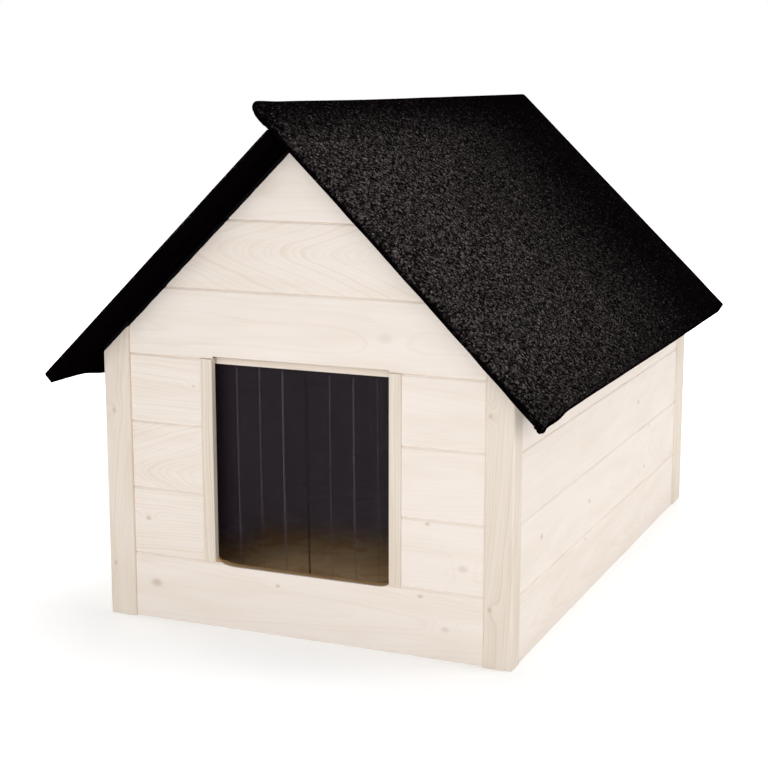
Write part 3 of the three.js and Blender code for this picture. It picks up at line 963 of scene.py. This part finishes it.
# Painted shade: fewer granules towards the rear darken the roof there.
REAR_SHADE_THINNING = Thinning(0.03, 380, -350)

# Unevenness of the sheet: sizes and the scales of their noise. Layers keep the noises apart.
TAIL_WAVER, TAIL_SCALE = 0.08, 28
DENT, DENT_SCALE, DENT_LAYER = 0.6 * MM, 9, 3
DENT_FADE = (12 * MM, 4 * MM)
PULL, PULL_SCALE, PULL_LAYER = 0.5 * MM, 16, 7
BORDER = {"left": 2.5 * MM, "right": 10.5 * MM}
BORDER_WAVER = {"left": 2 * MM, "right": 5 * MM}
BORDER_SCALE = 60
BORDER_BLUR = 2.5 * MM
NOISE_REACH = 50


def stations(low, high, low_fold, high_fold):
    """Places across a felt laid flat, as (place on the flat part, how far past the bend)."""
    start = low + (low_fold.radius if low_fold else 0)
    end = high - (high_fold.radius if high_fold else 0)

    def past(fold):
        bend = fold.radius * fold.wrap
        arc = [bend * i / BEND_STEPS for i in range(1, BEND_STEPS + 1)]
        return arc + [bend + fold.tail * i / TAIL_STEPS for i in range(1, TAIL_STEPS + 1)]

    count = round((end - start) / FELT_CELL)
    flat = [(start + (end - start) * i / count, 0.0) for i in range(count + 1)]
    before = [(start, -over) for over in reversed(past(low_fold))] if low_fold else []
    after = [(end, over) for over in past(high_fold)] if high_fold else []
    return before + flat + after


def reached(change, place):
    """How far a lift or a thinning has come in at a place, from 0 to 1."""
    return smooth(place, change.start * MM, change.end * MM)


def lifted(lifts, place):
    """The sum of lifts at a place."""
    return sum(lift.size * MM * reached(lift, place) for lift in lifts)


def swell(place, start, full, fading, end):
    """0 outside start and end, 1 between full and fading."""
    return smooth(place, start * MM, full * MM) * smooth(place, end * MM, fading * MM)


def hang(side, s, y, s_way, y_way):
    """How far a hem hangs past its panel, along its fold and out from it, s below the ridge."""
    if s_way > MOSTLY:
        if side == "right":
            return 0.0, EAVE_OUT + lifted(EAVE_OUT_LIFTS, y)
        return lifted(EAVE_DOWN_LIFTS, y), 0.0
    if abs(y_way) > MOSTLY:
        if side == "right":
            start, growth, length, power = RAKE_TAPER
            return start + growth * max(0.0, s / length) ** power, 0.0
        return RAKE_DOWN * sum(swell(s, *places) for places in RAKE_SWELLS), 0.0
    return 0.0, 0.0


def coverage_and_rear_shade(s, y):
    """How thickly the granules lie s below the ridge: thinner at its edges, and thinner towards
    the rear as painted shade.
    """
    share = 1.0
    for thin, place in ((THIN_AT_RIDGE, s), (THIN_AT_EAVE, s), (REAR_SHADE_THINNING, y)):
        share *= thin.least + (1 - thin.least) * reached(thin, place)
    return share


def nose_lift(s, y):
    """How far the lapped edge at the ridge curls up, most at the front corner."""
    return lifted(NOSE_LIFTS, y) * smooth(s, *NOSE_CURL)


def felt(side):
    """One sheet of felt laid over a panel and folded down round its edges."""
    node = f"roof_felt_{side}"
    down, out = DOWN_SLOPE[side], OUT_OF_SLOPE[side]
    top, bottom = span(node, down)
    front, rear = span(node, REAR)
    under, outer = span(node, out)
    ridge_line = span("roof_felt_left", DOWN_SLOPE["left"])[0]
    hem = Fold(HEM_BEND, math.pi / 2, outer - under - HEM_BEND)
    ridge = None
    if side == "right":
        ridge = RIDGE_FOLD
        top -= NOSE_RISE
    draw = Vector((random.Random(node).uniform(0, NOISE_REACH), 0, 0))

    def noise_at(s, y, scale, layer=0):
        return noise.noise(draw + Vector((s, y, layer)) * scale)

    bm = bmesh.new()
    mineral = bm.verts.layers.float.new(MINERAL_AND_REAR_SHADE)
    rows = []
    for s_base, s_over in stations(top, bottom, ridge, hem):
        row = []
        for y_base, y_over in stations(front, rear, hem, hem):
            over = math.hypot(s_over, y_over)
            s_way, y_way = (s_over / over, y_over / over) if over else (0, 0)
            share = s_way**2
            s_fold = ridge if s_over < 0 else hem
            radius = s_fold.radius * share + hem.radius * (1 - share)
            wrap = s_fold.wrap * share + hem.wrap * (1 - share)
            turn = min(over / radius, wrap)
            waver = noise_at(s_base, y_base, TAIL_SCALE)
            longer, flare = hang(side, s_base - ridge_line, y_base, s_way, y_way)
            hung = min(CORNER_HANG[side], max(0.0, over - radius * wrap) / s_fold.tail)
            tail = hung * (s_fold.tail * (1 + TAIL_WAVER * waver) + longer)
            inward = tail * math.cos(wrap) + flare * hung
            s = s_base + s_way * (s_fold.radius * math.sin(turn) + inward)
            y = y_base + y_way * (hem.radius * math.sin(turn) + inward)
            drop = radius * (1 - math.cos(turn)) + tail * math.sin(wrap)
            dent = 0.5 + 0.5 * noise_at(s, y, DENT_SCALE, DENT_LAYER)
            drop += DENT * dent * smooth(over, *DENT_FADE)
            pull = PULL * (0.5 + 0.5 * noise_at(s_base, y_base, PULL_SCALE, PULL_LAYER))
            s -= s_way * pull
            y -= y_way * pull
            lift = nose_lift(s_base - ridge_line, y_base) if side == "right" else 0.0
            place = down * (s - lift) + REAR * y + out * (outer - drop) + UP * lift
            vertex = bm.verts.new(place)
            edge = BORDER[side] + BORDER_WAVER[side] * noise_at(s, y, BORDER_SCALE)
            strewn = smooth(over, edge + BORDER_BLUR, edge)
            vertex[mineral] = strewn * coverage_and_rear_shade(s - ridge_line, y)
            row.append(vertex)
        rows.append(row)
    for above, below in zip(rows, rows[1:]):
        for a, b, c, d in zip(above, above[1:], below[1:], below):
            corners = (a, d, c, b) if side == "right" else (a, b, c, d)
            bm.faces.new(corners).smooth = True
    made = finished(bm, f"{node}_laid", "roofing_felt")
    made.modifiers.new("subdivided", "SUBSURF").levels = 1
    thick = made.modifiers.new("thickness", "SOLIDIFY")
    thick.thickness = FELT_THICKNESS
    thick.offset = -1
    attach(made, "roof")
    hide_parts(node)


# ---------------------------------------------------------------- door curtain

RIB_PITCH = 33 * MM
RIB_HALF = 2 * MM
RIB_CLEAR = 1 * MM
RIB_HEIGHT = 1 * MM
# How bright each rib's painted highlight is, from the slit outward.
RIB_SHINE = {"left": (1.0, 0.72, 0.78, 0.5), "right": (0.6, 0.75, 0.4, 0.5)}
CUT_EDGE_WIDTH = 2.2 * MM
RIB_PROFILE = (-1, -0.7, -0.45, -0.2, 0, 0.2, 0.45, 0.7, 1)
CURTAIN_STEP = 5 * MM

# The leaves part below the slit's top, where their cut edges carry painted shade for the dark gap
# between them and curl a little.
# A pair is the start and the end of a soft step: heights, or distances from the slit or the hinge.
SLIT_GAP = 0.2 * MM
SLIT_OPENS = (300 * MM, 210 * MM)
SLIT_CURLS = (300 * MM, 220 * MM)
SLIT_SHADE_REACH = (320 * MM, 240 * MM)
SLIT_PULL = 12 * MM
CURL = {"left": 1.6 * MM, "right": 0.5 * MM}
CURL_REACH = 26 * MM
BOW = 0.3 * MM
BOW_SCALE = (14, 5)
BOW_FULL = 0.4
RIBS_START = (2 * MM, 8 * MM)
LEAF_BEVEL = 0.3 * MM
LEAF_CORNER = math.radians(60)
AWAY_FROM_SLIT = {"left": -1, "right": 1}


def leaf_stations(low, high, slit, side):
    """Places across a leaf, each with the rise of its rib and how much that rib shines."""
    turn = AWAY_FROM_SLIT[side]
    ribs = []
    rib = slit + turn * RIB_PITCH
    while low + 2 * RIB_HALF < rib < high - 2 * RIB_HALF:
        ribs.append(rib)
        rib += turn * RIB_PITCH
    cut = slit + turn * CUT_EDGE_WIDTH
    marks = {low: (0.0, 0.0), high: (0.0, 0.0), cut: (0.0, 0.0)}
    for rib, shine in zip(ribs, RIB_SHINE[side]):
        for share in RIB_PROFILE:
            rise = math.cos(share * math.pi / 2) ** 2
            marks[rib + share * RIB_HALF] = (rise, rise * shine)
    count = round((high - low) / CURTAIN_STEP)
    for i in range(1, count):
        x = low + (high - low) * i / count
        if all(abs(x - mark) > RIB_HALF + RIB_CLEAR for mark in (*ribs, cut)):
            marks[x] = (0.0, 0.0)
    return [(x, *mark) for x, mark in sorted(marks.items())]


def curtain_leaf(side):
    """A ribbed strip from its clamped edge to its free end, leaning inward as it hangs."""
    leaf, margin = f"curtain_leaf_{side}", f"curtain_margin_{side}"
    low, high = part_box(leaf)
    margin_low, margin_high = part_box(margin)
    half = (margin_high.y - margin_low.y) / 2
    middle = (margin_high.y + margin_low.y) / 2
    hinge = next(joint for joint in frame["joints"] if joint["child"] == f"curtain_{side}")
    hinge_z = hinge["pos_m"][2]
    lean = high.y - middle - half - RIB_HEIGHT
    if side == "left":
        edge, facing = high.x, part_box("curtain_leaf_right")[0].x
    else:
        edge, facing = low.x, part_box("curtain_leaf_left")[1].x
    slit = (facing + edge) / 2

    bm = bmesh.new()
    rib_highlight_layer = bm.verts.layers.float.new(RIB)
    slit_shade_layer = bm.verts.layers.float.new(SLIT_SHADE)
    count = round((margin_high.z - low.z) / CURTAIN_STEP)
    rings = []
    for j in range(count + 1):
        z = margin_high.z + (low.z - margin_high.z) * j / count
        down = max(0.0, (hinge_z - z) / (hinge_z - low.z))
        ribbed = smooth(hinge_z - z, *RIBS_START)
        gap = AWAY_FROM_SLIT[side] * SLIT_GAP * (1 + smooth(z, *SLIT_OPENS))
        curled = smooth(z, *SLIT_CURLS)
        shaded = smooth(z, *SLIT_SHADE_REACH)
        front, back = [], []
        for x, rib, shine in leaf_stations(low.x, high.x, slit, side):
            from_slit = abs(x - slit)
            shift = (slit + gap - edge) * smooth(from_slit, SLIT_PULL, 0)
            curl = CURL[side] * curled * smooth(from_slit, CURL_REACH, 0)
            bow = BOW * noise.noise(Vector((x * BOW_SCALE[0], z * BOW_SCALE[1], 0)))
            y = middle + lean * down * down + curl + bow * smooth(down, 0, BOW_FULL)
            rise = half + RIB_HEIGHT * rib * ribbed
            # Painted shade along the slit's edges, from the height where the leaves part downward.
            cut = shaded * smooth(from_slit, CUT_EDGE_WIDTH, 0)
            front.append((Vector((x + shift, y - rise, z)), shine * ribbed, cut))
            back.append((Vector((x + shift, y + rise, z)), shine * ribbed, cut))
        ring = []
        for place, shine, cut in front + back[::-1]:
            vertex = bm.verts.new(place)
            vertex[rib_highlight_layer] = shine
            vertex[slit_shade_layer] = cut
            ring.append(vertex)
        rings.append(ring)
    for above, below in zip(rings, rings[1:]):
        for i, vertex in enumerate(above):
            k = (i + 1) % len(above)
            bm.faces.new((vertex, below[i], below[k], above[k])).smooth = True
    wide = len(rings[0]) // 2
    for ring in (rings[0], rings[-1]):
        for i in range(wide - 1):
            bm.faces.new((ring[i], ring[i + 1], ring[-2 - i], ring[-1 - i]))
    bmesh.ops.recalc_face_normals(bm, faces=bm.faces)
    made = finished(bm, f"curtain_{side}_strip", "smoky_pvc")
    soft = made.modifiers.new("edges", "BEVEL")
    soft.width = LEAF_BEVEL
    soft.segments = 1
    soft.angle_limit = LEAF_CORNER
    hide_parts(leaf, margin)
    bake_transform(made)


# ---------------------------------------------------------------- clamp screws

SCREW_STEPS = 40
SCREW_RINGS = 14
SHANK_SHARE = 0.45
POINT_SHARE = 0.1
HEAD_HEIGHT = 1.8 * MM
HEAD_BACK_SHARE = 0.94
RIM_SHARE = 0.25
RECESS_HALF = 0.5 * MM
RECESS_REACH = 1.9 * MM
RECESS_DEPTH = 1.1 * MM
RECESS_FLANK = 0.5
RECESS_END = 0.8


def screw(node):
    """A domed screw with a cross recess, its axis along Y, turned by hand to its own angle."""
    low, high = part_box(node)
    centre = (low + high) / 2
    radius = (high.x - low.x) / 2
    shank = radius * SHANK_SHARE
    head_back = high.y - HEAD_HEIGHT
    rim = head_back + HEAD_HEIGHT * RIM_SHARE
    angle = random.Random(node).uniform(0, math.pi / 2)

    bm = bmesh.new()

    def ring_at(r, y, recess=False):
        ring = []
        for i in range(SCREW_STEPS):
            turn = 2 * math.pi * i / SCREW_STEPS
            x, z = r * math.cos(turn), r * math.sin(turn)
            depth = 0.0
            if recess:
                narrow = min(abs(x), abs(z))
                depth = RECESS_DEPTH * smooth(narrow, RECESS_HALF, RECESS_HALF * RECESS_FLANK)
                depth *= smooth(r, RECESS_REACH, RECESS_REACH * RECESS_END)
            place = Vector((x * math.cos(angle) - z * math.sin(angle), y - depth,
                            x * math.sin(angle) + z * math.cos(angle)))
            ring.append(bm.verts.new(place + Vector((centre.x, 0, centre.z))))
        return ring

    rings = [
        ring_at(shank * POINT_SHARE, low.y),
        ring_at(shank, low.y + shank),
        ring_at(shank, head_back),
        ring_at(radius * HEAD_BACK_SHARE, head_back),
        ring_at(radius, rim),
    ]
    for i in range(1, SCREW_RINGS + 1):
        turn = math.pi / 2 * i / (SCREW_RINGS + 1)
        height = rim + (high.y - rim) * math.sin(turn)
        rings.append(ring_at(radius * math.cos(turn), height, recess=True))
    for first, second in zip(rings, rings[1:]):
        for i, vertex in enumerate(first):
            k = (i + 1) % SCREW_STEPS
            bm.faces.new((vertex, first[k], second[k], second[i])).smooth = True
    bm.faces.new(rings[0])
    bm.faces.new(rings[-1][::-1])
    bmesh.ops.recalc_face_normals(bm, faces=bm.faces)
    made = finished(bm, f"{node}_crossed", "zinc_screw")
    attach(made, "house")
    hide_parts(node)


# ---------------------------------------------------------------- the whole

camera()
for lamp in LAMPS:
    softbox(lamp)
surroundings()
floor()
bpy.context.scene.view_settings.view_transform = "Standard"

woodwork()
for side in ("left", "right"):
    felt(side)
    curtain_leaf(side)
for node in [name for name in SLOT_OF if name.startswith("clamp_screw")]:
    screw(node)
